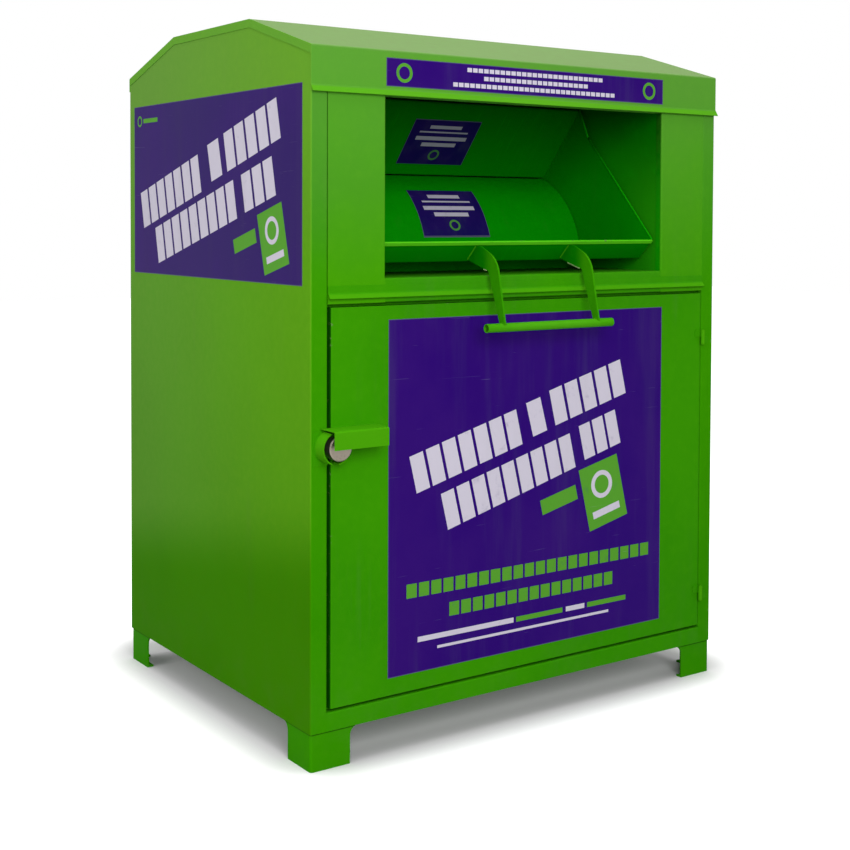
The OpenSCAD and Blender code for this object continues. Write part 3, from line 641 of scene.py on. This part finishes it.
def set_floor():
    """Pale floor. It shows the bin's shadow and glows to plain white farther off; round the bin
    the glow is held back, a painted shadow.
    """
    bm = bmesh.new()
    bmesh.ops.create_grid(bm, x_segments=1, y_segments=1, size=20.0)
    mesh = bpy.data.meshes.new("floor")
    bm.to_mesh(mesh)
    bm.free()
    floor = bpy.data.objects.new("floor", mesh)
    bpy.context.scene.collection.objects.link(floor)
    f = Finish("pale_floor")
    x, y, z = f.axes()
    seen = seen_directly(f)
    # The glow is held back near a rectangle set a little off the bin's footprint, so the floor
    # stays darker round the bin: a painted shadow added to the rendered one. Under the bin a faint
    # glow stays.
    beyond = [(abs(axis) - half).maths("MAXIMUM", 0.0)
              for axis, half in ((x - 0.0225, 0.6575), (y - 0.06, 0.53))]
    away = (beyond[0] * beyond[0] + beyond[1] * beyond[1]) ** 0.5
    lit = f.node("ShaderNodeBsdfDiffuse",
                 inputs={0: f.mix(seen, (0.32, 0.32, 0.32, 1.0), (0.86, 0.845, 0.86, 1.0))})
    glow = f.node("ShaderNodeEmission", inputs={
        0: (1, 1, 1, 1),
        1: seen * (f.fade(away, 0.08, 0.0) * 0.07 + f.fade(away, 0.09, 0.34) * 0.88)})
    both = f.node("ShaderNodeAddShader", inputs={0: lit, 1: glow})
    f.node("ShaderNodeOutputMaterial", inputs={0: both})
    mesh.materials.append(f.material)
    floor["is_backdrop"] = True


def set_world(ambient):
    world = bpy.data.worlds.new("studio")
    world.use_nodes = True
    bpy.context.scene.world = world
    f = Finish("studio", world.node_tree)
    strength = ambient + seen_directly(f) * (1.0 - ambient)
    sky = f.node("ShaderNodeBackground", inputs={0: (1, 1, 1, 1), 1: strength})
    f.node("ShaderNodeOutputWorld", inputs={0: sky})


set_camera()
set_floor()
set_world(0.42)
set_lamp("overhead_softbox", (0.2, 0.3, 5.2), (0.0, 0.0, 0.8), (4.5, 4.5), 115.0)
set_lamp("front_softbox", (-2.3, -5.4, 2.9), (0.0, -0.3, 1.2), (3.0, 3.0), 170.0)
set_lamp("left_softbox", (-5.3, -0.3, 3.4), (-0.7, 0.0, 1.3), (3.0, 3.0), 66.0)
bpy.context.scene.view_settings.view_transform = "Standard"

# ---------- the CAD nodes' finishes ----------

walls = powder_coat("wall_paint", tint_and_shade=side_tint_shade_and_sheen, shine=0.004)
roof = powder_coat("roof_paint", UPPER_LIT, tint_and_shade=chalked_roof, rub_and_sheen=fold_highlight)
cheeks = powder_coat("cheek_paint", UPPER_LIT, wave=0.2, bleach_and_sheen=0.24, tint_and_shade=inward_fold)
plain = powder_coat("frame_paint", wave=0.2, bleach_and_sheen=0.24, rub_and_sheen=fold_highlight)
leg_paint = powder_coat("leg_paint", wave=0.2, wear=chips_where(low_zone), seam_shadow=skirt_shadow_line,
                        shine=0.006)
door_paint = powder_coat("door_paint", wave=0.7, tint_and_shade=door_gap_shade, wear=chips_where(door_edges))
chute_paint = powder_coat("chute_paint", CHUTE, wave=0.5, dust=0.3, bleach_and_sheen=0.0,
                          rub_and_sheen=drag_marks)
liner_paint = powder_coat("liner_paint", CHUTE, wave=0.5, dust=0.3, bleach_and_sheen=0.0,
                          tint_and_shade=lit_liner, rub_and_sheen=drag_marks)
tray_paint = powder_coat("tray_paint", CHUTE, wave=0.3, dust=0.3, bleach_and_sheen=0.0,
                         tint_and_shade=shaded_chute, rub_and_sheen=drag_marks, wear=chips_where(lip_zone))
sill_paint = powder_coat("sill_paint", wave=0.3, dust=0.4, rub_and_sheen=drag_marks,
                         wear=chips_where(shelf_zone))
inner_paint = powder_coat("inner_paint", INNER_SHADED, wave=0.6, dust=0.8, bleach_and_sheen=0.0, rough=0.46)
handle_paint = powder_coat("handle_paint", HANDLE_LIT, wave=0.0, dust=0.1, bleach_and_sheen=0.0,
                           rub_and_sheen=hand_zone, rough=0.30)
arm_paint = powder_coat("arm_paint", wave=0.0, dust=0.1, bleach_and_sheen=0.0, tint_and_shade=sheltered_arm)
weld_paint = powder_coat("weld_paint", wave=0.0, dust=0.4, rough=0.34)
lip_highlight_paint = powder_coat("lip_highlight_paint", LIP_HIGHLIGHT_TONES, wave=0.0, dust=0.2, bleach_and_sheen=0.0,
                        wear=chips_where(lip_zone))
# tones lighter than the chute's: painted highlight along the tray plates' edges
edge_highlight_paint = powder_coat("edge_highlight_paint", (CHUTE[1], LIME, CHUTE[0]), wave=0.0, dust=0.0,
                         bleach_and_sheen=0.0, shine=0.006)
tack_steel = plated_steel("tack_steel", tone(150, 176, 120), 0.42, 0.3)

dress(walls, "side_panel_left", "side_panel_right", "back_panel")
dress(roof, "roof_cap")
dress(cheeks, "front_cheek_left", "front_cheek_right")
dress(plain, "header_angle", "door_drip_strip", "bottom_rail", "frame_hinge_barrels",
      "hinge_pins", "lock_backplate", "lock_ring_frame", "door_stops")
dress(leg_paint, "leg_front_left", "leg_front_right", "leg_rear_left", "leg_rear_right",
      "foot_plates")
dress(inner_paint, "floor_panel", "cross_rail", "drum_gussets",
      "side_stiffeners", "back_stiffeners", "door_stiffeners")
dress(door_paint, "door_pan")
dress(plain, "door_hinge_barrels", "lock_hood", "lock_ring_door", "door_hasp")
dress(sill_paint, "sill_panel")
dress(chute_paint, "drum_panel")
dress(liner_paint, "chute_liner_left", "chute_liner_right")
dress(tray_paint, "tray_plate_left", "tray_plate_right", "tray_pan", "tray_back")
dress(lip_highlight_paint, "tray_lip")
dress(arm_paint, "handle_arm_left", "handle_arm_right")
dress(handle_paint, "handle_tube")
dress(turned_steel("lock_steel", LOCK, tone(132, 125, 112), 0.26), "lock_puck")
dress(plated_steel("shackle_steel", tone(190, 190, 192), 0.2), "lock_shackle")
dress(plated_steel("zinc_plate", tone(176, 178, 176), 0.34),
      "chute_bolts", "pivot_pins", "pivot_nuts")
dress(plated_steel("plug_brass", tone(206, 170, 92), 0.28), "key_plug")
dress(soft_plastic("bumper_rubber", tone(30, 30, 30), tone(62, 60, 56), 0.7, 300.0),
      "rest_bumpers", "open_stops")
dress(soft_plastic("bush_nylon", tone(222, 216, 196), tone(180, 172, 150), 0.5, 260.0),
      "pivot_bushes")

dress(vinyl("side_vinyl_left", 1.119, 0.548, lambda x, y, z: SIDE_DECAL[0] - y,
            lambda x, y, z: z - SIDE_DECAL[1], SIDE_MARKS, PURPLE_DULL), "side_decal_left")
dress(vinyl("side_vinyl_right", 1.119, 0.548, lambda x, y, z: y - SIDE_DECAL[0],
            lambda x, y, z: z - SIDE_DECAL[1], SIDE_MARKS, PURPLE_DULL), "side_decal_right")
dress(vinyl("door_vinyl", 1.045, 1.004, lambda x, y, z: x - DOOR_DECAL[0],
            lambda x, y, z: z - DOOR_DECAL[1], DOOR_MARKS), "door_decal")
dress(vinyl("fascia_vinyl", 1.050, 0.079, lambda x, y, z: x,
            lambda x, y, z: z - FASCIA_DECAL_Z, FASCIA_MARKS), "fascia_decal")
# The chute's labels have their print turned down: painted shade.
dress(vinyl("drum_vinyl", 0.262, 0.185, lambda x, y, z: x,
            lambda x, y, z: (z - DRUM_LABEL_Z) * DRUM_SLANT, LABEL_MARKS, NAVY, 0.8),
      "drum_label")
dress(vinyl("tray_vinyl", 0.262, 0.181, lambda x, y, z: x,
            lambda x, y, z: (z - TRAY_LABEL_Z) * TRAY_SLANT, LABEL_MARKS, NAVY, 0.6),
      "tray_label")

# ---------- welds ----------

wall = (TOE - LIP).normalized()
wall_start, wall_end = LIP + wall * 0.020, TOE - wall * 0.008
arm_runs = []
tube_runs = []
for side in (-1, 1):
    for face in (-1, 1):
        x = side * ARM_X + face * (ARM_T / 2 + 0.0006)
        shift = Vector((x, -0.0005, -0.0005))
        arm_runs.append([wall_start + shift, wall_end + shift])
        tube_runs.append(arc_points((x, TUBE.y, TUBE.z), TUBE_R + 0.0004, 42, 138, 8, "yz"))
weld("handle_welds", arm_runs + tube_runs, "tray", weld_paint, 0.0022)
web_low = TOE.lerp(WEB_END, 0.42) + Vector((0.0, 0.0, 0.001))
weld("arm_foot_tacks",
     [[WEB_END + Vector((-ARM_X, 0.0, 0.0)), WEB_END + Vector((-ARM_X, 0.012, 0.0015))],
      [WEB_END + Vector((ARM_X, 0.002, 0.0)), web_low + Vector((ARM_X, 0.0, 0.0))]],
     "tray", tack_steel, 0.0036)
plate_edge = (LIP + Vector((0.0, 0.002, 0.003)), PLATE_BEND, PLATE_TOP)
rod("tray_edge_wire", [[point + Vector((x, 0.0, 0.0)) for point in plate_edge]
                       for x in (-PLATE_X, PLATE_X)], 0.0028, "tray", edge_highlight_paint)

frame_leaves = []
door_leaves = []
for z in HINGE_Z:
    for runs, side, low in ((door_leaves, -1, z), (frame_leaves, 1, z - LEAF_Z)):
        x = HINGE.x + side * LEAF_X
        runs.append([(x, FRONT - 0.0008, low + 0.001),
                     (x, FRONT - 0.0008, low + LEAF_Z - 0.001)])
weld("door_hinge_welds", door_leaves, "door", weld_paint, 0.0021)
weld("frame_hinge_welds", frame_leaves, "cabinet", weld_paint, 0.0021)
weld("hood_weld", [[(DOOR_X[0] + 0.004, FRONT - 0.0006, HOOD_Z + 0.0004),
                    (HOOD_X[1] - 0.001, FRONT - 0.0006, HOOD_Z + 0.0004)]],
     "door", weld_paint, 0.0024)
weld("door_guard_weld",
     [arc_points(GUARD + Vector((0, -0.0006, 0)), 0.0464, 284, 341, 14)], "door", weld_paint)
weld("post_guard_weld",
     [arc_points(GUARD + Vector((0, -0.0036, 0)), 0.0464, 140, 220, 16)], "cabinet", weld_paint)

# ---------- sizes and end ----------

low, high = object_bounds()
